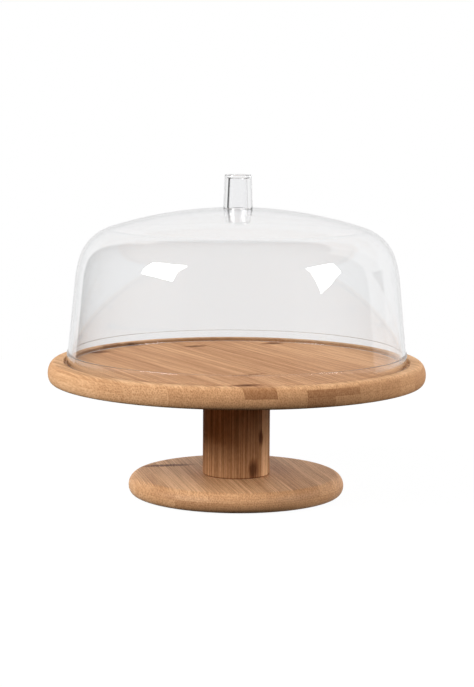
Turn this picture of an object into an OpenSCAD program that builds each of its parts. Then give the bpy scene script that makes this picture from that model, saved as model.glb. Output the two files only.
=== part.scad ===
// Cheese dome: a clear lift-off dome on a footed bamboo plate.
// Millimetres, +Z up. The origin is the centre of the circle of pads that the stand rests on.

/* [Serving plate] */
// Outside diameter of the plate
plate_d = 300; // [240:1:360]
// Thickness of the plate at its rim
plate_t = 16.1; // [13:0.1:24]
// Height of the plate's widest line above its underside
plate_belly = 6.5; // [4:0.1:9]
// Width of the rounding from the widest line in to the top of the rim
plate_top_edge = 5.9; // [2:0.1:8]
// Width of the rounding from the widest line in to the underside
plate_bottom_edge = 3.2; // [1:0.1:8]
// Width of the raised rim outside the recess
rim_w = 13; // [9:0.1:24]
// Depth of the recess that the dome stands in
recess_depth = 2.1; // [1.2:0.1:5]
// Radius of the rounded edge between rim and recess
rim_round = 1.2; // [0.5:0.1:3]

/* [Column] */
// Diameter of the column
column_d = 53.5; // [44:0.5:80]
// Height of the column between base and plate
column_h = 75.3; // [55:0.1:140]
// Width of the small rounding at each end of the column
column_edge = 0.6; // [0.2:0.1:2]
// Length of solid wood left between the two fixings in the column
column_core = 25.3; // [15:0.1:40]

/* [Base] */
// Diameter of the base
base_d = 172; // [130:0.1:240]
// Thickness of the base
base_t = 15.3; // [13:0.1:24]
// Height of the base's widest line above its underside
base_belly = 6.5; // [4:0.1:9]
// Width of the rounding from the widest line in to the top of the base
base_top_edge = 7.8; // [2:0.1:12]
// Width of the rounding from the widest line in to the underside
base_bottom_edge = 4.4; // [1:0.1:8]

/* [Dome] */
// Radial gap between the dome's foot and the wall of the recess
seat_gap = 2; // [0.5:0.1:4]
// Height of the dome from its foot to the seat of the knob
dome_h = 122.9; // [100:0.1:180]
// Thickness of the dome's wall
dome_wall = 2.5; // [1.5:0.1:4]
// Lean of the dome's wall, in degrees from upright
dome_draft = 5.75; // [2:0.05:9]
// Outside radius of the gentle bend that leads from the wall into the shoulder
bend_r = 80; // [60:1:110]
// Angle that the gentle bend turns through, in degrees
bend_turn = 12.4; // [4:0.1:18]
// Outside radius of the shoulder between bend and crown
shoulder_r = 35.3; // [25:0.1:45]
// Outside radius of the shallow crown
crown_r = 333; // [280:1:420]
// Height of the thicker band around the foot
foot_h = 9.5; // [6:0.1:20]
// How far the foot band stands out from the wall above it
foot_step = 1; // [0.4:0.1:2]
// Radius of the small roundings on the foot band
foot_round = 0.6; // [0.2:0.1:1]

/* [Knob] */
// Diameter of the knob where it meets the dome
knob_base_d = 23.2; // [18:0.1:34]
// Diameter of the knob at its top
knob_top_d = 21.2; // [16:0.1:34]
// Height of the knob
knob_h = 26.4; // [16:0.1:40]
// Radius of the rounded outer edges of the knob, at its top and its foot
knob_round = 0.9; // [0.3:0.1:2]
// Diameter of the knob's hollow core at its upper end
knob_core_top_d = 13; // [6:0.1:14]
// Diameter of the knob's hollow core where it opens onto the dome
knob_core_foot_d = 14.8; // [8:0.1:18]
// Radius of the rounding around the upper end of the core
knob_core_round = 1; // [0.3:0.1:2.5]
// Thickness of the knob above its core
knob_cap = 2.3; // [1.5:0.1:6]

/* [Fixings] */
// Thread diameter of the stud between column and plate
stud_d = 8; // [5:0.5:10]
// Outside diameter of the threaded insert
insert_d = 12; // [11:0.5:16]
// Flange diameter of the threaded insert
insert_flange_d = 16; // [14:0.5:24]
// Flange thickness of the threaded insert
insert_flange_t = 1.2; // [0.8:0.1:2]
// Thickness of wood left above the insert
insert_cover = 2.6; // [1.5:0.1:4]
// Shank diameter of the base screw
screw_d = 6; // [4:0.5:8]
// Head diameter of the base screw
screw_head_d = 11; // [9:0.5:14]
// Head height of the base screw
screw_head_h = 3.6; // [3:0.1:5]
// Width across the corners of the socket in the screw's head
screw_socket_d = 4.6; // [3:0.1:6]
// Depth of the socket in the screw's head
screw_socket_h = 2; // [1:0.1:2.5]
// Diameter of the washer under the screw's head
washer_d = 18; // [15:0.5:24]
// Thickness of the washer
washer_t = 1.5; // [1:0.1:2.5]
// How far the screw's head stays inside the base
screw_sink = 0.8; // [0.2:0.1:2]
// Diameter of each dowel
dowel_d = 8; // [5:0.5:10]
// Depth of each dowel in the base
dowel_in_base = 8; // [5:0.1:9]
// Depth of each dowel in the column
dowel_in_column = 10; // [6:0.1:16]

/* [Feet] */
// Diameter of each pad
foot_pad_d = 16; // [10:0.5:24]
// How far each pad stands out of the base
foot_proud = 1; // [0.5:0.1:2]
// How deep each pad is let into the base
foot_inlet = 1.5; // [0.8:0.1:2.5]
// Distance from the edge of the base in to the pads' centres
foot_inset = 24; // [16:0.5:36]
// Width of the bevel around each pad
foot_bevel = 0.4; // [0.2:0.1:0.6]

/* [Fits] */
// Radial room around a fixing, dowel or pad in its hole
fixing_room = 0.1; // [0.05:0.05:0.3]
// Depth of room past the end of a blind fixing
end_room = 0.5; // [0.3:0.1:1]

/* [Hidden] */
FOOT_COUNT = 4;
DOWEL_COUNT = 2;
$fn = 96;

// Steps along each rounded stretch of an outline
EDGE_STEPS = 12;
CROWN_STEPS = 20;
// Overshoot of a cut past the face that it opens
cut = 0.5;

bamboo = "#C58F62";
bamboo_dark = "#B07A4E";
clear_acrylic = [0.86, 0.92, 0.96, 0.4];
steel = "#B8BCC0";
brass = "#C9A54A";
beech = "#D8B98A";
pad_grey = "#8C8C8A";

// Heights of the stacked pieces
base_z = foot_proud;
column_z = base_z + base_t;
plate_z = column_z + column_h;
plate_top = plate_z + plate_t;
seat_z = plate_top - recess_depth;
knob_z = seat_z + dome_h;

// Radii that the mating pieces share
plate_r = plate_d / 2;
recess_r = plate_r - rim_w;
foot_r = recess_r - seat_gap;
wall_foot_r = foot_r - foot_step;
knob_base_r = knob_base_d / 2;
base_r = base_d / 2;
foot_ring_r = base_r - foot_inset;

// Rounded edges, held back where the wall beside them is shorter
rim_edge = min(rim_round, recess_depth, rim_w - plate_top_edge);
foot_edge = min(foot_round, foot_step, dome_wall / 2);

// Lengths of the fixings
insert_l = plate_t - recess_depth - insert_cover;
fixing_in_column = (column_h - column_core) / 2;
stud_l = fixing_in_column + insert_l - end_room;
washer_z = base_z + screw_sink + screw_head_h;
screw_bearing_z = washer_z + washer_t;
screw_pocket_r = washer_d / 2 + fixing_room;
dowel_ring_r = (screw_pocket_r + column_d / 2) / 2;

// Centres of the dome's bend, shoulder and crown arcs: each touches the next, and the bend the wall
bend_end = dome_draft + bend_turn;
wall_out = [cos(dome_draft), sin(dome_draft)];
wall_up = [-sin(dome_draft), cos(dome_draft)];
bend_to_shoulder = (bend_r - shoulder_r) * [cos(bend_end), sin(bend_end)];
wall_foot = [wall_foot_r, seat_z + foot_h];
crown_centre = [0, knob_z - sqrt(crown_r ^ 2 - knob_base_r ^ 2)];
shoulder_reach = crown_r - shoulder_r;
shoulder_start = wall_foot - bend_r * wall_out + bend_to_shoulder - crown_centre;
shoulder_along = shoulder_start * wall_up;
shoulder_rise = sqrt(shoulder_along ^ 2 - shoulder_start * shoulder_start + shoulder_reach ^ 2) - shoulder_along;
shoulder_centre = crown_centre + shoulder_start + shoulder_rise * wall_up;
bend_centre = shoulder_centre - bend_to_shoulder;
shoulder_from_crown = shoulder_centre - crown_centre;
shoulder_top_angle = atan2(shoulder_from_crown[1], shoulder_from_crown[0]);

// Points of an elliptic arc about a centre, between two angles
function arc(centre, rx, rz, from, to, steps = EDGE_STEPS) = [
    for (i = [0:steps])
        let (a = from + (to - from) * i / steps)
        [centre[0] + rx * cos(a), centre[1] + rz * sin(a)]
];

// Half outline of the plate: rounded outside, raised rim, recessed top
function plate_outline() = concat(
    [[0, plate_z]],
    arc([plate_r - plate_bottom_edge, plate_z + plate_belly], plate_bottom_edge, plate_belly, -90, 0),
    arc([plate_r - plate_top_edge, plate_z + plate_belly], plate_top_edge, plate_t - plate_belly, 0, 90),
    arc([recess_r + rim_edge, plate_top - rim_edge], rim_edge, rim_edge, 90, 180),
    [[recess_r, seat_z], [0, seat_z]]
);

// Half outline of the base: a disc with a round edge that reaches further in above than below
function base_outline() = concat(
    [[0, base_z]],
    arc([base_r - base_bottom_edge, base_z + base_belly], base_bottom_edge, base_belly, -90, 0),
    arc([base_r - base_top_edge, base_z + base_belly], base_top_edge, base_t - base_belly, 0, 90),
    [[0, column_z]]
);

// Half outline of the column, with a small rounding at each end
function column_outline() =
    let (r = column_d / 2, e = column_edge)
    concat(
        [[0, column_z]],
        arc([r - e, column_z + e], e, e, -90, 0),
        arc([r - e, plate_z - e], e, e, 0, 90),
        [[0, plate_z]]
    );

// One side of the dome's bend, shoulder and crown, set in by a depth from the outside
function dome_side(depth, crown_end) = concat(
    arc(bend_centre, bend_r - depth, bend_r - depth, dome_draft, bend_end),
    arc(shoulder_centre, shoulder_r - depth, shoulder_r - depth, bend_end, shoulder_top_angle),
    arc(crown_centre, crown_r - depth, crown_r - depth, shoulder_top_angle, crown_end, CROWN_STEPS)
);

function reversed(points) = [for (i = [len(points) - 1:-1:0]) points[i]];

// Half outline of the dome, from the foot up the outside and down the inside
function dome_outline() =
    let (
        seat_angle = acos(knob_base_r / crown_r),
        inside_r = wall_foot_r - dome_wall,
        band_top = seat_z + foot_h
    )
    concat(
        arc([inside_r + foot_edge, seat_z + foot_edge], foot_edge, foot_edge, 180, 270),
        arc([foot_r - foot_edge, seat_z + foot_edge], foot_edge, foot_edge, -90, 0),
        arc([foot_r - foot_edge, band_top - foot_edge], foot_edge, foot_edge, 0, 90),
        [wall_foot],
        dome_side(0, seat_angle),
        [[0, knob_z]],
        reversed(dome_side(dome_wall, 90)),
        [[inside_r, band_top]]
    );

// Half outline of the knob, with its tapered hollow core open below
function knob_outline() =
    let (
        edge = knob_round,
        core_edge = knob_core_round,
        core_r = knob_core_top_d / 2,
        top = knob_z + knob_h,
        core_top = top - knob_cap
    )
    concat(
        [[knob_core_foot_d / 2, knob_z]],
        arc([knob_base_r - edge, knob_z + edge], edge, edge, -90, 0),
        arc([knob_top_d / 2 - edge, top - edge], edge, edge, 0, 90),
        [[0, top], [0, core_top]],
        arc([core_r - core_edge, core_top - core_edge], core_edge, core_edge, 90, 0)
    );

module blind_hole(r, z, depth) {
    translate([0, 0, z - cut])
        cylinder(r = r, h = depth + cut);
}

module around_axis(count, index, r) {
    rotate([0, 0, (index - 0.5) * 360 / count])
        translate([r, 0, 0])
            children();
}

module serving_plate() {
    color(bamboo)
    difference() {
        rotate_extrude()
            polygon(plate_outline());
        blind_hole(insert_d / 2 + fixing_room, plate_z, insert_l);
        blind_hole(insert_flange_d / 2 + fixing_room, plate_z, insert_flange_t);
    }
}

module plate_insert() {
    color(brass)
    translate([0, 0, plate_z])
    difference() {
        union() {
            cylinder(d = insert_d, h = insert_l);
            cylinder(d = insert_flange_d, h = insert_flange_t);
        }
        blind_hole(stud_d / 2 + fixing_room, 0, insert_l + cut);
    }
}

module plate_stud() {
    tip_h = stud_d / 2;
    color(steel)
    translate([0, 0, plate_z - fixing_in_column])
    union() {
        cylinder(d1 = 0, d2 = stud_d, h = tip_h);
        translate([0, 0, tip_h])
            cylinder(d = stud_d, h = stud_l - tip_h);
    }
}

module pedestal_column() {
    color(bamboo_dark)
    difference() {
        rotate_extrude()
            polygon(column_outline());
        blind_hole(screw_d / 2 + fixing_room, column_z, fixing_in_column + end_room);
        translate([0, 0, plate_z - fixing_in_column - end_room])
            cylinder(d = stud_d + 2 * fixing_room, h = fixing_in_column + end_room + cut);
        for (i = [1:DOWEL_COUNT])
            around_axis(DOWEL_COUNT, i, dowel_ring_r)
                blind_hole(dowel_d / 2 + fixing_room, column_z, dowel_in_column + end_room);
    }
}

module base_dowel(index) {
    color(beech)
    around_axis(DOWEL_COUNT, index, dowel_ring_r)
        translate([0, 0, column_z - dowel_in_base])
            cylinder(d = dowel_d, h = dowel_in_base + dowel_in_column);
}

module base_screw() {
    tip_h = screw_d / 2;
    shank_l = column_z + fixing_in_column - washer_z;
    color(steel)
    difference() {
        union() {
            translate([0, 0, washer_z - screw_head_h])
                cylinder(d = screw_head_d, h = screw_head_h);
            translate([0, 0, washer_z])
                cylinder(d = screw_d, h = shank_l - tip_h);
            translate([0, 0, washer_z + shank_l - tip_h])
                cylinder(d1 = screw_d, d2 = 0, h = tip_h);
        }
        translate([0, 0, washer_z - screw_head_h - cut])
            cylinder(d = screw_socket_d, h = screw_socket_h + cut, $fn = 6);
    }
}

module base_washer() {
    color(steel)
    translate([0, 0, washer_z])
    difference() {
        cylinder(d = washer_d, h = washer_t);
        blind_hole(screw_d / 2 + fixing_room, 0, washer_t + cut);
    }
}

module base_disc() {
    color(bamboo)
    difference() {
        rotate_extrude()
            polygon(base_outline());
        blind_hole(screw_pocket_r, base_z, screw_bearing_z - base_z);
        blind_hole(screw_d / 2 + fixing_room, base_z, base_t + cut);
        for (i = [1:DOWEL_COUNT])
            around_axis(DOWEL_COUNT, i, dowel_ring_r)
                translate([0, 0, column_z - dowel_in_base - end_room])
                    cylinder(d = dowel_d + 2 * fixing_room, h = dowel_in_base + end_room + cut);
        for (i = [1:FOOT_COUNT])
            around_axis(FOOT_COUNT, i, foot_ring_r)
                blind_hole(foot_pad_d / 2 + fixing_room, base_z, foot_inlet);
    }
}

module foot_pad(index) {
    pad_r = foot_pad_d / 2;
    color(pad_grey)
    around_axis(FOOT_COUNT, index, foot_ring_r)
    union() {
        cylinder(r1 = pad_r - foot_bevel, r2 = pad_r, h = foot_bevel);
        translate([0, 0, foot_bevel])
            cylinder(r = pad_r, h = foot_proud + foot_inlet - foot_bevel);
    }
}

module dome_shell() {
    color(clear_acrylic)
    rotate_extrude()
        polygon(dome_outline());
}

module dome_knob() {
    color(clear_acrylic)
    rotate_extrude()
        polygon(knob_outline());
}

serving_plate();
plate_insert();
plate_stud();
pedestal_column();
for (i = [1:DOWEL_COUNT])
    base_dowel(i);
base_screw();
base_washer();
base_disc();
for (i = [1:FOOT_COUNT])
    foot_pad(i);
dome_shell();
dome_knob();
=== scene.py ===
"""Cheese dome on a bamboo pedestal: detailed meshes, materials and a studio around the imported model."""

import math
from dataclasses import dataclass

import bmesh
import bpy
from mathutils import Matrix, Vector


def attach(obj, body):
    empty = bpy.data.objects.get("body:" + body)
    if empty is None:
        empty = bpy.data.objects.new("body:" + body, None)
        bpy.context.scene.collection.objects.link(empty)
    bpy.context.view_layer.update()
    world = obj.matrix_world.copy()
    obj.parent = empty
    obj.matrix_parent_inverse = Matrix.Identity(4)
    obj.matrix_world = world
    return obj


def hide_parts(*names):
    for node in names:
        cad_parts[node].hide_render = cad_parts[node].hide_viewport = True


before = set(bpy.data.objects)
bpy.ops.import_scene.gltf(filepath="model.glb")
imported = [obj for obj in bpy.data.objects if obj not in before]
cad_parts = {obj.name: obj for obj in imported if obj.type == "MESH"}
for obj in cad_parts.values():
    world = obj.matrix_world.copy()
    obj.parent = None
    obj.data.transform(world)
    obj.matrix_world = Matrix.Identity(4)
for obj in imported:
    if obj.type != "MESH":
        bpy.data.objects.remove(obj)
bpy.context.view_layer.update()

MM = 0.001

# Dimensions in millimetres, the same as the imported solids
PLATE_R = 150.0
PLATE_Z = 91.6
PLATE_T = 16.1
PLATE_BELLY = 6.5
PLATE_TOP_EDGE = 5.9
PLATE_BOTTOM_EDGE = 3.2
RECESS_R = 137.0
RECESS_DEPTH = 2.1
RIM_ROUND = 1.2
COLUMN_R = 26.75
COLUMN_Z = 16.3
COLUMN_EDGE = 0.6
BASE_R = 86.0
BASE_Z = 1.0
BASE_BELLY = 6.5
BASE_TOP_EDGE = 7.8
BASE_BOTTOM_EDGE = 4.4
SCREW_POCKET_R = 9.1
SCREW_BEARING_Z = 6.9
DOME_H = 122.9
DOME_WALL = 2.5
DOME_DRAFT = math.radians(5.75)
BEND_R = 80.0
BEND_TURN = math.radians(12.4)
SHOULDER_R = 35.3
CROWN_R = 333.0
FOOT_R = 135.0
FOOT_H = 9.5
FOOT_STEP = 1.0
FOOT_ROUND = 0.6
KNOB_BASE_R = 11.6
KNOB_TOP_R = 10.6
KNOB_H = 26.4
KNOB_ROUND = 0.9
KNOB_CORE_TOP_R = 6.5
KNOB_CORE_FOOT_R = 7.4
KNOB_CORE_ROUND = 1.0
KNOB_CAP = 2.3
GLUE_GAP = 0.05

PLATE_TOP = PLATE_Z + PLATE_T
SEAT_Z = PLATE_TOP - RECESS_DEPTH
KNOB_Z = SEAT_Z + DOME_H
WALL_FOOT_R = FOOT_R - FOOT_STEP

# Steps of the fine meshes
EDGE_STEPS = 16
WALL_STEPS = 20
FOOT_STEPS = 8
BEND_STEPS = 16
SHOULDER_STEPS = 40
CROWN_STEPS = 36
ROUND_STEPS = 256
SHARP_ANGLE = math.radians(35)

# A point of an outline nearer than this, in millimetres, is on the axis
ON_AXIS = 0.001


# Outlines

def arc(centre, rx, rz, start, end, steps=EDGE_STEPS):
    """Points of an elliptic arc about a centre, between two angles in degrees."""
    points = []
    for i in range(steps + 1):
        a = math.radians(start + (end - start) * i / steps)
        points.append((centre[0] + rx * math.cos(a), centre[1] + rz * math.sin(a)))
    return points


def line(start, end, steps):
    """Points along a straight stretch, closer together towards both of its ends."""
    points = []
    for i in range(steps + 1):
        t = (1 - math.cos(math.pi * i / steps)) / 2
        points.append(tuple(a + (b - a) * t for a, b in zip(start, end)))
    return points


def plate_outline():
    """Rounded edge, raised rim and recessed top, from the middle of the underside outwards."""
    belly = PLATE_Z + PLATE_BELLY
    return (
        [(0, PLATE_Z)]
        + arc((PLATE_R - PLATE_BOTTOM_EDGE, belly), PLATE_BOTTOM_EDGE, PLATE_BELLY, -90, 0)
        + arc((PLATE_R - PLATE_TOP_EDGE, belly), PLATE_TOP_EDGE, PLATE_T - PLATE_BELLY, 0, 90)
        + arc((RECESS_R + RIM_ROUND, PLATE_TOP - RIM_ROUND), RIM_ROUND, RIM_ROUND, 90, 180)
        + [(RECESS_R, SEAT_Z), (0, SEAT_Z)]
    )


def column_outline():
    """A plain column with a small rounding at each end."""
    r = COLUMN_R - COLUMN_EDGE
    return (
        [(0, COLUMN_Z)]
        + arc((r, COLUMN_Z + COLUMN_EDGE), COLUMN_EDGE, COLUMN_EDGE, -90, 0)
        + arc((r, PLATE_Z - COLUMN_EDGE), COLUMN_EDGE, COLUMN_EDGE, 0, 90)
        + [(0, PLATE_Z)]
    )


def base_outline():
    """A round-edged disc, with the pocket of the screw in the middle of its underside."""
    belly = BASE_Z + BASE_BELLY
    return (
        [(0, SCREW_BEARING_Z), (SCREW_POCKET_R, SCREW_BEARING_Z), (SCREW_POCKET_R, BASE_Z)]
        + arc((BASE_R - BASE_BOTTOM_EDGE, belly), BASE_BOTTOM_EDGE, BASE_BELLY, -90, 0)
        + arc((BASE_R - BASE_TOP_EDGE, belly), BASE_TOP_EDGE, COLUMN_Z - belly, 0, 90)
        + [(0, COLUMN_Z)]
    )


def dome_centres():
    """Centres of the bend, shoulder and crown arcs, and the angle where shoulder meets crown."""
    bend_end = DOME_DRAFT + BEND_TURN
    out = Vector((math.cos(DOME_DRAFT), math.sin(DOME_DRAFT)))
    up = Vector((-math.sin(DOME_DRAFT), math.cos(DOME_DRAFT)))
    to_shoulder = (BEND_R - SHOULDER_R) * Vector((math.cos(bend_end), math.sin(bend_end)))
    foot = Vector((WALL_FOOT_R, SEAT_Z + FOOT_H))
    crown = Vector((0, KNOB_Z - math.sqrt(CROWN_R ** 2 - KNOB_BASE_R ** 2)))
    start = foot - BEND_R * out + to_shoulder - crown
    along = start.dot(up)
    rise = math.sqrt(along ** 2 - start.dot(start) + (CROWN_R - SHOULDER_R) ** 2) - along
    shoulder = crown + start + rise * up
    reach = shoulder - crown
    return shoulder - to_shoulder, shoulder, crown, math.degrees(math.atan2(reach.y, reach.x))


def dome_outline():
    """The foot band, up the outside to the crown and down the inside."""
    bend, shoulder, crown, meeting = dome_centres()
    draft = math.degrees(DOME_DRAFT)
    bend_end = math.degrees(DOME_DRAFT + BEND_TURN)
    seat_angle = math.degrees(math.acos(KNOB_BASE_R / CROWN_R))
    inside_r = WALL_FOOT_R - DOME_WALL
    band_top = SEAT_Z + FOOT_H
    low = SEAT_Z + FOOT_ROUND

    def side(foot_r, depth, crown_end):
        """Wall, bend, shoulder and crown; close rings keep the wall's faces from bending light."""
        lead = arc(bend, BEND_R - depth, BEND_R - depth, draft, bend_end, BEND_STEPS)
        turn = arc(shoulder, SHOULDER_R - depth, SHOULDER_R - depth, bend_end, meeting, SHOULDER_STEPS)
        cap = arc(crown, CROWN_R - depth, CROWN_R - depth, meeting, crown_end, CROWN_STEPS)
        return line((foot_r, band_top), lead[0], WALL_STEPS) + lead[1:] + turn[1:] + cap[1:]

    return (
        arc((inside_r + FOOT_ROUND, low), FOOT_ROUND, FOOT_ROUND, 180, 270)
        + arc((FOOT_R - FOOT_ROUND, low), FOOT_ROUND, FOOT_ROUND, -90, 0)
        + arc((FOOT_R - FOOT_ROUND, band_top - FOOT_ROUND), FOOT_ROUND, FOOT_ROUND, 0, 90)
        + side(WALL_FOOT_R, 0, seat_angle)
        + [(0, KNOB_Z)]
        + side(inside_r, DOME_WALL, 90)[::-1]
        + line((inside_r, band_top), (inside_r, low), FOOT_STEPS)[1:-1]
    )


def knob_outline():
    """The knob about its hollow core, which opens downwards."""
    low = KNOB_Z + GLUE_GAP
    top = KNOB_Z + KNOB_H
    return (
        [(KNOB_CORE_FOOT_R, low)]
        + arc((KNOB_BASE_R - KNOB_ROUND, low + KNOB_ROUND), KNOB_ROUND, KNOB_ROUND, -90, 0)
        + arc((KNOB_TOP_R - KNOB_ROUND, top - KNOB_ROUND), KNOB_ROUND, KNOB_ROUND, 0, 90)
        + [(0, top), (0, top - KNOB_CAP)]
        + arc(
            (KNOB_CORE_TOP_R - KNOB_CORE_ROUND, top - KNOB_CAP - KNOB_CORE_ROUND),
            KNOB_CORE_ROUND, KNOB_CORE_ROUND, 90, 0,
        )
    )


# Meshes

def lathe(name, outline, closed=False):
    """Turns an outline, in millimetres and with the solid on its left, about the upright axis."""
    bm = bmesh.new()
    rings = []
    for r, z in outline:
        if r < ON_AXIS:
            rings.append([bm.verts.new((0, 0, z * MM))])
            continue
        ring = []
        for j in range(ROUND_STEPS):
            a = 2 * math.pi * j / ROUND_STEPS
            ring.append(bm.verts.new((r * MM * math.cos(a), r * MM * math.sin(a), z * MM)))
        rings.append(ring)
    pairs = list(zip(rings, rings[1:]))
    if closed:
        pairs.append((rings[-1], rings[0]))
    for low, high in pairs:
        for j in range(ROUND_STEPS):
            join_rings(bm, low, high, j)
    mesh = bpy.data.meshes.new(name)
    bm.to_mesh(mesh)
    bm.free()
    mesh.shade_smooth()
    mesh.set_sharp_from_angle(angle=SHARP_ANGLE)
    piece = bpy.data.objects.new(name, mesh)
    bpy.context.scene.collection.objects.link(piece)
    return piece


def join_rings(bm, low, high, j):
    """Adds the face between two rings at one step, or none where both are on the axis."""
    k = (j + 1) % ROUND_STEPS
    if len(low) == 1 and len(high) == 1:
        return
    if len(low) == 1:
        bm.faces.new((low[0], high[k], high[j]))
    elif len(high) == 1:
        bm.faces.new((low[j], low[k], high[0]))
    else:
        bm.faces.new((low[j], low[k], high[k], high[j]))


# Materials

class Shader:
    """Adds nodes to one node tree and joins their sockets."""

    def __init__(self, tree):
        """Starts with an empty tree."""
        self.tree = tree
        tree.nodes.clear()

    def feed(self, socket, value):
        """Gives a socket a fixed value, or links it to the output of another node."""
        if isinstance(value, bpy.types.NodeSocket):
            self.tree.links.new(value, socket)
        else:
            socket.default_value = value

    def node(self, kind, inputs=None, **settings):
        """A new node with its settings made and its inputs fed."""
        made = self.tree.nodes.new(kind)
        for key, value in settings.items():
            setattr(made, key, value)
        for key, value in (inputs or {}).items():
            self.feed(made.inputs[key], value)
        return made

    def math(self, operation, *values):
        """The result of an operation on numbers."""
        made = self.node("ShaderNodeMath", operation=operation)
        for socket, value in zip(made.inputs, values):
            self.feed(socket, value)
        return made.outputs[0]

    def product(self, *values):
        """All the values multiplied."""
        total = values[0]
        for value in values[1:]:
            total = self.math("MULTIPLY", total, value)
        return total

    def same(self, value, number):
        """1 where a value that counts in whole steps has the given number, else 0."""
        return self.math("COMPARE", value, number, 0.5)

    def fade(self, value, zero, one):
        """0 where the value is at zero, 1 where it is at one, smooth between."""
        return self.node(
            "ShaderNodeMapRange",
            {"Value": value, "From Min": zero, "From Max": one},
            interpolation_type="SMOOTHSTEP",
        ).outputs[0]

    def span(self, value, low, high):
        """Spreads a value from 0..1 to low..high."""
        return self.math("MULTIPLY_ADD", value, high - low, low)

    def vector_math(self, operation, *values):
        """A node that works on vectors."""
        made = self.node("ShaderNodeVectorMath", operation=operation)
        for socket, value in zip(made.inputs, values):
            self.feed(socket, value)
        return made

    def dot(self, vector, axis):
        """How far a vector reaches along an axis."""
        return self.vector_math("DOT_PRODUCT", vector, axis).outputs["Value"]

    def vector(self, x, y, z):
        """Three numbers as one vector."""
        return self.node("ShaderNodeCombineXYZ", {"X": x, "Y": y, "Z": z}).outputs[0]

    def stretched(self, point, scales):
        """A point's three measures, each times a scale, as one vector."""
        return self.vector(*(self.math("MULTIPLY", v, s) for v, s in zip(point, scales)))

    def noise(self, vector, scale=1.0, detail=2.0):
        """Soft noise from 0 to 1 about 0.5."""
        made = self.node(
            "ShaderNodeTexNoise", {"Vector": vector, "Scale": scale, "Detail": detail}
        )
        return made.outputs["Fac"]

    def ramp(self, value, stops):
        """A colour by a value; each stop is a position and its colour."""
        made = self.node("ShaderNodeValToRGB", {"Fac": value})
        elements = made.color_ramp.elements
        while len(elements) < len(stops):
            elements.new(0.5)
        for element, (position, colour) in zip(elements, stops):
            element.position = position
            element.color = (*colour, 1)
        return made.outputs["Color"]

    def bump(self, height, distance, strength):
        """Surface direction with fine relief; distance is how deep a height of 1 is."""
        return self.node(
            "ShaderNodeBump", {"Height": height, "Distance": distance, "Strength": strength}
        ).outputs[0]

    def principled(self, **inputs):
        """A Principled shader; names are its sockets, with _ for a space."""
        named = {key.replace("_", " "): value for key, value in inputs.items()}
        return self.node("ShaderNodeBsdfPrincipled", named).outputs[0]

    def surface(self, **inputs):
        """Makes a Principled shader the material's surface."""
        self.output(self.principled(**inputs))

    def output(self, shader, kind="ShaderNodeOutputMaterial"):
        """Ends the tree in a shader."""
        self.node(kind, {"Surface": shader})


def new_material(name):
    """An empty material and the helper that fills its tree."""
    material = bpy.data.materials.new(name)
    material.use_nodes = True
    return material, Shader(material.node_tree)


# Colours of bamboo from dark to light
BAMBOO_STOPS = (
    (0.00, (0.020, 0.007, 0.003)),
    (0.30, (0.150, 0.058, 0.022)),
    (0.55, (0.330, 0.150, 0.064)),
    (0.80, (0.570, 0.305, 0.148)),
    (1.00, (0.790, 0.480, 0.262)),
)

# How often the features of the grain repeat along, across and through it, per millimetre
FIBRE_SCALE = (0.012, 0.9, 0.9)
DASH_SCALE = (0.30, 1.25, 1.25)
GAP_SCALE = (0.03, 0.35, 0.35)
BAND_SCALE = (0.006, 0.22, 1.0)
BUNDLE_SCALE = (0.004, 1.15, 0.60)
WOBBLE_SCALE = (0.04, 1.0, 0.5)
LINE_ALONG = 0.006
LINE_THROUGH = 0.3

# How far the features make the wood darker or lighter
FIBRE_DEPTH = 0.36
BAND_DEPTH = 0.36
DASH_SHADES = (0.82, 1.18)
BETWEEN_LINES = 1.05
BETWEEN_BUNDLES = 0.15
BUNDLE_DEPTHS = (0.08, 0.21)
MARK_SHADE = 0.40
# Painted shade at the column's ends, where it meets the base and the plate
JOINT_PAINTED_SHADE = 0.60
SEAM_SHADE = 0.95
END_GRAIN_SHADE = 0.885
FACE_SHADE = 1.05
END_GRAIN_LINES = 0.25
GRAIN_HEIGHT = 0.12 * MM
BUNDLE_HEIGHT = 0.3

# Where the features fade from nothing to full
END_GRAIN_FADE = (0.12, 0.45)
FACE_FADE = (0.5, 0.95)
LINE_FADE = (0.59, 0.44)
LINE_STRENGTHS = (0.2, 1.5)
BUNDLE_FADE = (0.60, 0.12)
BUNDLE_SCATTER = 0.7
MARK_FADE = (1.3, 0.3)
GRAIN_BUMP = 0.4

# Sizes of the features in millimetres
SEAM_HALF_W = 0.5
MARK_RAGGEDNESS = 5.0
# How far the painted shade at a board's ends reaches
JOINT_SHADE_REACH = 1.2


@dataclass
class Board:
    """How a bamboo board is glued up, in millimetres; axes run along, across and through the grain.

    The line values say how dark and how close its fibre lines are, and edge_grain how much of the
    grain shows on turned edges. Above face_from the board counts as one layer more, and inside the
    radius floor_r, which is a recess turned into it, as two. The sheen is how strongly it reflects,
    and joints are the places along the grain where its ends get painted shade, standing in for the
    shade between it and the parts it meets. The rim value paints the flat top of a rim lighter, a
    painted highlight.
    """

    axes: tuple
    strip_w: float
    strip_from: float
    layer_t: float
    layer_from: float
    face_from: float
    floor_r: float
    floor_shade: float
    rim_painted_light: float
    line_depth: float
    lines_per_mm: float
    edge_grain: float
    sheen: float
    roughness: tuple
    tones: tuple
    seed: float
    shades: tuple
    marks: tuple
    joints: tuple = ()


# What the plate's rim and the floor of its recess count as among its layers
RIM_LAYER = 1
FLOOR_LAYER = 2
FLOOR_TINT = (1.0, 0.95, 0.94, 1.0)

# How far apart the broad bands of neighbouring strips lie in their noise
STRIP_STEP = 3.7


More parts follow.
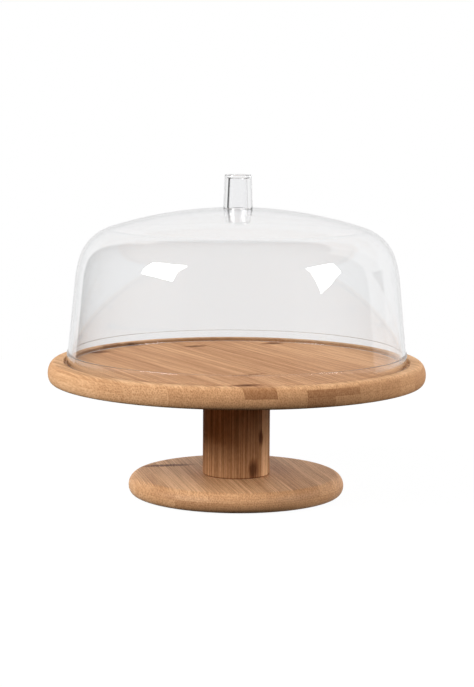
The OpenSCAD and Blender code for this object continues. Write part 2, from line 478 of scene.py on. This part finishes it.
def strip_tone(s, board, strip, layer, chance, face):
    """Lightness of each strip: by chance, by where it is, with a painted highlight on the flat top of a
    rim, and for some by a shade of their own.

    A board's shades each give a strip, a layer and how much lighter it is.
    """
    on_floor = s.same(layer, FLOOR_LAYER)
    on_rim = s.product(s.same(layer, RIM_LAYER), face)
    tone = s.math("MULTIPLY_ADD", on_floor, board.floor_shade, s.span(chance, *board.tones))
    # Painted highlight: the flat top of the rim is made lighter, as where light catches it
    tone = s.math("MULTIPLY_ADD", on_rim, board.rim_painted_light, tone)
    for strip_number, layer_number, shade in board.shades:
        here = s.product(s.same(strip, strip_number), s.same(layer, layer_number))
        tone = s.math("MULTIPLY_ADD", here, shade, tone)
    return tone


def cane_marks(s, board, point):
    """Dark ragged marks where a strip has a node of the cane, each with a centre and half sizes."""
    wobble = s.noise(s.stretched(point, WOBBLE_SCALE), detail=3.0)
    shift = s.span(wobble, -MARK_RAGGEDNESS, MARK_RAGGEDNESS)
    ragged = s.vector(s.math("ADD", point[0], shift), *point[1:])
    dark = 0.0
    for centre, half in board.marks:
        offset = s.vector_math("SUBTRACT", ragged, centre).outputs[0]
        share = s.vector_math("DIVIDE", offset, half).outputs[0]
        away = s.vector_math("LENGTH", share).outputs["Value"]
        dark = s.math("MAXIMUM", dark, s.fade(away, *MARK_FADE))
    return dark


def joint_painted_shade(s, board, along):
    """Painted shade at the ends of a board, standing in for the shade where it meets other parts: 1 at
    those ends, 0 a little away from them.
    """
    shaded = 0.0
    for end in board.joints:
        away = s.math("ABSOLUTE", s.math("SUBTRACT", along, end))
        shaded = s.math("MAXIMUM", shaded, s.fade(away, JOINT_SHADE_REACH, JOINT_SHADE_REACH / 3))
    return shaded


def bamboo(name, board):
    """Glued bamboo strips with fibres, pores, cane nodes and glue lines, with painted shade at a board's
    joints and a painted highlight on a rim's flat top.
    """
    material, s = new_material(name)
    place = s.node("ShaderNodeVectorMath", operation="SCALE")
    s.feed(place.inputs[0], s.node("ShaderNodeTexCoord").outputs["Object"])
    s.feed(place.inputs["Scale"], 1 / MM)
    point = [s.dot(place.outputs[0], axis) for axis in board.axes]
    along, across, through = point

    layers = s.math("DIVIDE", s.math("SUBTRACT", through, board.layer_from), board.layer_t)
    radius = s.vector_math("LENGTH", s.vector(along, across, 0.0)).outputs["Value"]
    on_floor = s.math("LESS_THAN", radius, board.floor_r)
    above = s.product(s.math("GREATER_THAN", through, board.face_from), s.math("ADD", on_floor, 1.0))
    layer = s.math("ADD", s.math("FLOOR", layers), above)
    strips = s.math("DIVIDE", s.math("SUBTRACT", across, board.strip_from), board.strip_w)
    strip = s.math("FLOOR", strips)
    chance = s.node(
        "ShaderNodeTexWhiteNoise",
        {"Vector": s.vector(strip, layer, board.seed)},
        noise_dimensions="3D",
    ).outputs["Value"]

    normal = s.node("ShaderNodeNewGeometry").outputs["Normal"]
    end_grain = s.fade(s.math("ABSOLUTE", s.dot(normal, board.axes[0])), *END_GRAIN_FADE)
    face = s.fade(s.math("ABSOLUTE", s.dot(normal, board.axes[2])), *FACE_FADE)
    grain = s.span(face, board.edge_grain, 1.0)

    def varied(value, depth):
        """1, more or less by a value about its middle of 0.5, and less so on a turned edge."""
        return s.math("MULTIPLY_ADD", s.product(s.math("SUBTRACT", value, 0.5), grain), depth, 1.0)

    own = s.math("MULTIPLY", strip, STRIP_STEP)
    fibre = s.noise(s.stretched(point, FIBRE_SCALE), detail=3.0)
    dashes = s.noise(s.stretched(point, DASH_SCALE))
    line_scale = (LINE_ALONG, board.lines_per_mm, LINE_THROUGH)
    lines = s.fade(s.noise(s.stretched(point, line_scale), detail=3.0), *LINE_FADE)
    gaps = s.span(s.noise(s.stretched(point, GAP_SCALE)), *LINE_STRENGTHS)
    band = s.noise(s.stretched((along, across, own), BAND_SCALE))
    cells = s.node(
        "ShaderNodeTexVoronoi",
        {"Vector": s.stretched(point, BUNDLE_SCALE), "Scale": 1.0, "Randomness": BUNDLE_SCATTER},
    ).outputs["Distance"]
    bundles = s.fade(cells, *BUNDLE_FADE)
    marks = cane_marks(s, board, point)
    side = s.math("MULTIPLY", s.math("PINGPONG", strips, 0.5), board.strip_w)
    level = s.math("MULTIPLY", s.math("ABSOLUTE", layers), board.layer_t)
    seam = s.math(
        "MAXIMUM",
        s.fade(side, SEAM_HALF_W, SEAM_HALF_W / 5),
        s.fade(level, SEAM_HALF_W, SEAM_HALF_W / 5),
    )
    streaks = s.product(lines, gaps, grain, s.span(end_grain, 1.0, END_GRAIN_LINES))
    pores = s.math("SUBTRACT", BETWEEN_BUNDLES, bundles)

    shade = s.product(
        strip_tone(s, board, strip, layer, chance, face),
        varied(fibre, FIBRE_DEPTH),
        varied(band, BAND_DEPTH),
        s.span(dashes, *DASH_SHADES),
        s.span(streaks, BETWEEN_LINES, BETWEEN_LINES - board.line_depth),
        s.math("MULTIPLY_ADD", pores, s.span(end_grain, *BUNDLE_DEPTHS), 1.0),
        s.span(marks, 1.0, MARK_SHADE),
        # Painted shade at the ends of the column, where shade falls between it and the base and plate
        s.span(joint_painted_shade(s, board, along), 1.0, JOINT_PAINTED_SHADE),
        s.span(seam, 1.0, SEAM_SHADE),
        s.span(end_grain, 1.0, END_GRAIN_SHADE),
        s.span(face, 1.0, FACE_SHADE),
    )
    raised = s.math("ADD", fibre, s.math("MULTIPLY", bundles, BUNDLE_HEIGHT))
    height = s.math("SUBTRACT", raised, seam)
    wood = s.node(
        "ShaderNodeMix",
        {
            0: s.same(layer, FLOOR_LAYER),
            6: s.ramp(shade, BAMBOO_STOPS),
            7: FLOOR_TINT,
        },
        data_type="RGBA",
        blend_type="MULTIPLY",
    )
    s.surface(
        Base_Color=wood.outputs[2],
        Roughness=s.span(fibre, *board.roughness),
        Specular_IOR_Level=board.sheen,
        Normal=s.bump(height, GRAIN_HEIGHT, GRAIN_BUMP),
    )
    return material


def turned_axes(degrees):
    """Level grain turned about the upright axis: along, across and through."""
    a = math.radians(degrees)
    return (math.cos(a), math.sin(a), 0), (-math.sin(a), math.cos(a), 0), (0, 0, 1)


# A height above every board, for one that has no face layer
NO_FACE = 1000.0
PLATE_BOARD = Board(
    axes=turned_axes(-62), strip_w=22.5, strip_from=2.5, layer_t=8.4, layer_from=PLATE_Z + 8.2,
    # The rim value paints the flat top of the rim lighter, a painted highlight
    face_from=SEAT_Z - 0.4, floor_r=RECESS_R - 0.5, floor_shade=0.01, rim_painted_light=0.07,
    line_depth=0.25, lines_per_mm=1.1, edge_grain=0.35, sheen=0.08, roughness=(0.62, 0.82),
    tones=(0.81, 0.89), seed=3.0,
    shades=(
        # Strips -7 and -6 at the left end are lighter: painted light, where the left soft box falls more
        # strongly
        (-7, 0, 0.06), (-7, -1, 0.06), (-6, 0, 0.05), (-6, -1, 0.05), (-5, 0, -0.05), (-3, 0, -0.26),
        (-1, 0, -0.24), (-1, -1, -0.20), (0, 0, -0.18), (0, -1, -0.08), (2, 0, -0.06),
        (-3, RIM_LAYER, -0.22), (-6, FLOOR_LAYER, 0.12), (-5, FLOOR_LAYER, 0.03),
        (-4, FLOOR_LAYER, -0.03), (-2, FLOOR_LAYER, 0.03), (3, FLOOR_LAYER, 0.02),
        (4, FLOOR_LAYER, 0.10), (5, FLOOR_LAYER, 0.08),
    ),
    marks=(
        ((-130, -31, SEAT_Z), (6, 11, 4)), ((-101, 14, SEAT_Z), (5, 11, 4)),
        ((-90, 82, SEAT_Z), (6, 11, 4)), ((-103, -76, SEAT_Z), (6, 10, 4)),
        ((108, -50, SEAT_Z), (7, 14, 4)), ((62, -21, SEAT_Z), (2.4, 12, 4)),
        ((45, 59, PLATE_Z), (5, 11, 4)), ((-38, -54, PLATE_Z), (6, 11, 4)),
        ((96, 14, PLATE_Z), (5, 11, 4)),
    ),
)
COLUMN_BOARD = Board(
    axes=((0, 0, 1), (1, 0, 0), (0, 1, 0)), strip_w=14.7, strip_from=-4.4,
    layer_t=14.7, layer_from=-17.5,
    face_from=NO_FACE, floor_r=0.0, floor_shade=0.0, rim_painted_light=0.0,
    line_depth=0.28, lines_per_mm=1.35, edge_grain=1.0, sheen=0.08, roughness=(0.62, 0.82),
    tones=(0.71, 0.80), seed=5.0,
    shades=((0, -1, -0.04), (1, -1, -0.07), (1, 0, 0.38)),
    marks=(
        ((49, 19.5, -18), (7, 2.4, 5)), ((23, 13.5, -23), (9, 4.4, 5)), ((31, -12, 24), (5, 8, 5)),
    ),
    # Painted shade at both ends of the column, standing in for the shade where it meets the base and the
    # plate
    joints=(COLUMN_Z, PLATE_Z),
)
BASE_BOARD = Board(
    axes=turned_axes(-77), strip_w=22.5, strip_from=6.0, layer_t=8.2, layer_from=BASE_Z + 8,
    face_from=NO_FACE, floor_r=0.0, floor_shade=0.0, rim_painted_light=0.0,
    line_depth=0.26, lines_per_mm=1.7, edge_grain=0.35, sheen=0.15, roughness=(0.44, 0.64),
    tones=(0.81, 0.92), seed=8.0,
    # Strip -4 at the left end is lighter, painted light from the left soft box; the lower layer is
    # darker, partly its own tone and partly painted shade where the edge turns to the floor
    shades=((-4, 0, 0.03),) + tuple((strip, -1, -0.06) for strip in range(-3, 4)),
    marks=(((-41, -50, COLUMN_Z), (5, 24, 4)), ((38, 40, BASE_Z), (5, 11, 4))),
)


ACRYLIC_IOR = 1.49
WAVE_SCALE = 22.0
WAVE_BUMP = 0.3
POLISH_SCALE = 160.0
POLISH_ROUGHNESS = 0.012

# How nearly edge-on the surface is where the painted shade of its edges starts
EDGE_SHADE_FROM = 0.75

# How much light passes the wall and the thicker foot, and half the height of the step between them
WALL_PASSES = (0.93, 0.93, 0.93)
FOOT_PASSES = (0.68, 0.68, 0.68)
FOOT_SOFT = 0.3


def acrylic(name, colour, edge_shade_colour, wave, shadow_below):
    """Clear moulded acrylic with a faint tint, painted shade at its edges where they are seen edge-on,
    and a slight wave in its surface.

    Light that only passes through goes straight on, and less of it below the given height.
    """
    material, s = new_material(name)
    place = s.node("ShaderNodeTexCoord").outputs["Object"]
    waves = s.noise(place, scale=WAVE_SCALE)
    marks = s.noise(place, scale=POLISH_SCALE, detail=4.0)
    facing = s.node("ShaderNodeLayerWeight", {"Blend": 0.5}).outputs["Facing"]
    body = s.principled(
        # Painted shade: the colour darkens where the surface is seen edge-on
        Base_Color=s.ramp(facing, ((0.0, colour), (EDGE_SHADE_FROM, colour), (1.0, edge_shade_colour))),
        Roughness=s.span(marks, 0.0, POLISH_ROUGHNESS),
        Normal=s.bump(waves, wave, WAVE_BUMP),
        IOR=ACRYLIC_IOR,
        Transmission_Weight=1.0,
    )
    height = s.node("ShaderNodeSeparateXYZ", {"Vector": place}).outputs["Z"]
    thick = s.fade(height, (shadow_below + FOOT_SOFT) * MM, (shadow_below - FOOT_SOFT) * MM)
    passing = s.ramp(thick, ((0.0, WALL_PASSES), (1.0, FOOT_PASSES)))
    through = s.node("ShaderNodeBsdfTransparent", {"Color": passing}).outputs[0]
    path = s.node("ShaderNodeLightPath").outputs
    passes = s.math("MAXIMUM", path["Is Shadow Ray"], path["Is Diffuse Ray"])
    s.output(s.node("ShaderNodeMixShader", {0: passes, 1: body, 2: through}).outputs[0])
    return material


def brushed(name, light, dark, roughness):
    """Plain metal with fine turned marks."""
    material, s = new_material(name)
    place = s.node("ShaderNodeTexCoord").outputs["Object"]
    marks = s.noise(place, scale=900.0, detail=4.0)
    s.surface(
        Base_Color=s.ramp(marks, ((0.3, dark), (0.7, light))),
        Roughness=s.span(marks, roughness - 0.08, roughness + 0.08),
        Normal=s.bump(marks, 0.05 * MM, 0.3),
        Metallic=1.0,
    )
    return material


def matt(name, light, dark, scale, roughness):
    """A dull grained surface, for rubber and plain wood."""
    material, s = new_material(name)
    place = s.node("ShaderNodeTexCoord").outputs["Object"]
    grain = s.noise(place, scale=scale, detail=5.0)
    s.surface(
        Base_Color=s.ramp(grain, ((0.3, dark), (0.7, light))),
        Roughness=s.span(grain, roughness - 0.1, roughness + 0.1),
        Normal=s.bump(grain, 0.1 * MM, 0.4),
    )
    return material


# Pieces

def dress(piece, body, node, material):
    """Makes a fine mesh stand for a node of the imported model."""
    piece.data.materials.append(material)
    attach(piece, body)
    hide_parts(node)


def finish_node(node, material):
    """Gives a node that is shown as it was packed its detailed material."""
    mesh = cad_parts[node].data
    mesh.materials.clear()
    mesh.materials.append(material)


PAD_COUNT = 4


def make_pieces():
    """Fine meshes for the turned pieces that are seen, and materials for all the other nodes."""
    plate_wood = bamboo("plate_bamboo", PLATE_BOARD)
    column_wood = bamboo("column_bamboo", COLUMN_BOARD)
    base_wood = bamboo("base_bamboo", BASE_BOARD)
    dress(lathe("plate", plate_outline()), "stand", "serving_plate", plate_wood)
    dress(lathe("column", column_outline()), "stand", "pedestal_column", column_wood)
    dress(lathe("base", base_outline()), "stand", "base_disc", base_wood)

    dress(
        lathe("dome", dome_outline(), closed=True), "dome", "dome_shell",
        acrylic(
            "dome_acrylic", colour=(0.950, 0.953, 0.957), edge_shade_colour=(0.90, 0.89, 0.92),
            wave=0.04 * MM, shadow_below=SEAT_Z + FOOT_H,
        ),
    )
    dress(
        lathe("knob", knob_outline(), closed=True), "dome", "dome_knob",
        acrylic(
            # The knob's edges get strong painted shade, which draws its dark outlines
            "knob_acrylic", colour=(0.995, 0.995, 1.0), edge_shade_colour=(0.80, 0.79, 0.82),
            wave=0.02 * MM, shadow_below=KNOB_Z,
        ),
    )

    steel = brushed(
        "fixing_steel", light=(0.62, 0.63, 0.65), dark=(0.42, 0.43, 0.45), roughness=0.32,
    )
    brass = brushed(
        "insert_brass", light=(0.62, 0.42, 0.14), dark=(0.44, 0.28, 0.08), roughness=0.35,
    )
    beech = matt(
        "dowel_beech", light=(0.66, 0.46, 0.26), dark=(0.50, 0.33, 0.17), scale=120.0, roughness=0.6,
    )
    rubber = matt(
        "pad_rubber", light=(0.24, 0.24, 0.23), dark=(0.17, 0.17, 0.165), scale=700.0, roughness=0.75,
    )
    for node in ("plate_stud", "base_screw", "base_washer"):
        finish_node(node, steel)
    finish_node("plate_insert", brass)
    for node in ("base_dowel_1", "base_dowel_2"):
        finish_node(node, beech)
    for i in range(1, PAD_COUNT + 1):
        finish_node(f"foot_pad_{i}", rubber)


# Studio

CAMERA_PLACE = (0, -1.6161, 0.33586)
CAMERA_PITCH = math.radians(7.578)
CAMERA_ROLL = math.radians(0.4266)
CAMERA_LENS = 107.47
SENSOR_W = 36.0

# The floor's colour for other rays and for the camera, and the light that makes it white
FLOOR_R = 0.8
FLOOR_STEPS = 96
FLOOR_PAPER = (0.012, 0.05)
FLOOR_GLOW = 0.965

# Power of a soft box per square metre of its face, for a radiance of 1
POWER_PER_AREA = 4

# The backdrop's edges in degrees: to the sides, from straight behind the object, and upwards
BACKDROP_LEFT = -40
BACKDROP_RIGHT = 56
WING_RIGHT = 75
WING_LEVEL = 0.75
BACKDROP_TOP = 50
BACKDROP_SOFT = 1.0
FRONT_FROM = 140

# How bright the room is for rays that the object scatters or mirrors
SCATTERED_BACKDROP = 1.70
SCATTERED_ROOM = 0.015
MIRRORED_BACKDROP = 0.94
MIRRORED_SIDES = 0.12
MIRRORED_FRONT = 0.05


def make_camera():
    """A camera at the viewing angle of the photograph."""
    data = bpy.data.cameras.new("photo_camera")
    data.lens = CAMERA_LENS
    data.sensor_width = SENSOR_W
    camera = bpy.data.objects.new("photo_camera", data)
    camera.matrix_world = (
        Matrix.Translation(CAMERA_PLACE)
        @ Matrix.Rotation(math.pi / 2 - CAMERA_PITCH, 4, "X")
        @ Matrix.Rotation(CAMERA_ROLL, 4, "Z")
    )
    bpy.context.scene.collection.objects.link(camera)
    bpy.context.scene.camera = camera


def make_floor():
    """A pale disc that shows white to the camera and keeps the object's shadow."""
    mesh = bpy.data.meshes.new("floor")
    bm = bmesh.new()
    bmesh.ops.create_circle(bm, cap_ends=True, radius=FLOOR_R, segments=FLOOR_STEPS)
    bm.to_mesh(mesh)
    bm.free()
    material, s = new_material("floor_pale")
    path = s.node("ShaderNodeLightPath").outputs
    shown = s.math("MAXIMUM", path["Is Camera Ray"], path["Is Transmission Ray"])
    colour = s.span(path["Is Camera Ray"], *FLOOR_PAPER)
    paper = s.node("ShaderNodeBsdfDiffuse", {"Color": colour})
    glow = s.node("ShaderNodeEmission", {"Strength": s.math("MULTIPLY", shown, FLOOR_GLOW)})
    both = s.node("ShaderNodeAddShader")
    s.feed(both.inputs[0], paper.outputs[0])
    s.feed(both.inputs[1], glow.outputs[0])
    s.output(both.outputs[0])
    mesh.materials.append(material)
    floor = bpy.data.objects.new("floor", mesh)
    floor.visible_glossy = False
    bpy.context.scene.collection.objects.link(floor)


def make_lamp(name, place, facing, long_axis, size, radiance):
    """A rectangular soft box; facing is the way it shines and long_axis the way of its length."""
    data = bpy.data.lights.new(name, "AREA")
    data.shape = "RECTANGLE"
    data.size, data.size_y = size
    data.energy = radiance * POWER_PER_AREA * size[0] * size[1]
    lamp = bpy.data.objects.new(name, data)
    z = -Vector(facing).normalized()
    x = Vector(long_axis)
    x = (x - x.dot(z) * z).normalized()
    y = z.cross(x)
    turn = Matrix((x, y, z)).transposed().to_4x4()
    lamp.matrix_world = Matrix.Translation(place) @ turn
    lamp.visible_camera = False
    bpy.context.scene.collection.objects.link(lamp)


def make_world():
    """White for the camera and through the dome; a room with a pale backdrop for all other rays.

    The backdrop has a dimmer wing on its right.
    """
    world = bpy.data.worlds.new("studio")
    world.use_nodes = True
    bpy.context.scene.world = world
    s = Shader(world.node_tree)
    path = s.node("ShaderNodeLightPath").outputs
    ray = s.node("ShaderNodeTexCoord").outputs["Generated"]
    axes = s.node("ShaderNodeSeparateXYZ", {"Vector": ray}).outputs
    turn = s.math("ARCTAN2", axes["X"], axes["Y"])
    rise = s.math("ARCSINE", axes["Z"])

    def edge(value, degrees, way):
        """1 past an edge and 0 before it; way is the sign of the direction that is past it."""
        soft = math.radians(BACKDROP_SOFT)
        at = math.radians(degrees)
        return s.fade(value, at - way * soft, at + way * soft)

    backdrop = s.product(
        edge(turn, BACKDROP_LEFT, 1),
        edge(rise, BACKDROP_TOP, -1),
        s.math(
            "ADD",
            s.math("MULTIPLY", edge(turn, BACKDROP_RIGHT, -1), 1 - WING_LEVEL),
            s.math("MULTIPLY", edge(turn, WING_RIGHT, -1), WING_LEVEL),
        ),
    )
    mirrored = s.math("GREATER_THAN", path["Glossy Depth"], 0.5)
    scattered = s.math("GREATER_THAN", path["Diffuse Depth"], 0.5)

    def choose(factor, no, yes):
        """One number or the other, by a factor that is 0 or 1."""
        made = s.node("ShaderNodeMix", {0: factor, 2: no, 3: yes}, data_type="FLOAT")
        return made.outputs[0]

    level = choose(scattered, choose(mirrored, 1.0, MIRRORED_BACKDROP), SCATTERED_BACKDROP)
    front = s.math("MAXIMUM", edge(turn, -FRONT_FROM, -1), edge(turn, FRONT_FROM, 1))
    around = choose(front, MIRRORED_SIDES, MIRRORED_FRONT)
    rest = choose(scattered, choose(mirrored, 1.0, around), SCATTERED_ROOM)
    room = choose(backdrop, rest, level)
    strength = choose(path["Is Camera Ray"], room, 1.0)
    background = s.node("ShaderNodeBackground", {"Strength": strength})
    s.feed(background.inputs["Color"], (1, 1, 1, 1))
    s.output(background.outputs[0], "ShaderNodeOutputWorld")


def make_studio():
    """Camera, floor, two soft boxes in front and the room around them."""
    make_camera()
    make_floor()
    make_lamp(
        "left_soft_box",
        place=(-2.310, -1.339, 1.648),
        facing=(0.477, 0.852, -0.213),
        long_axis=(0.820, -0.519, -0.240),
        size=(1.568, 1.187),
        radiance=17.8,
    )
    make_lamp(
        "right_soft_box",
        place=(2.633, -0.876, 1.399),
        facing=(-0.097, 0.957, -0.275),
        long_axis=(0.810, 0.237, 0.537),
        size=(2.292, 1.132),
        radiance=11.6,
    )
    make_world()
    bpy.context.scene.view_settings.view_transform = "Standard"


make_studio()
make_pieces()
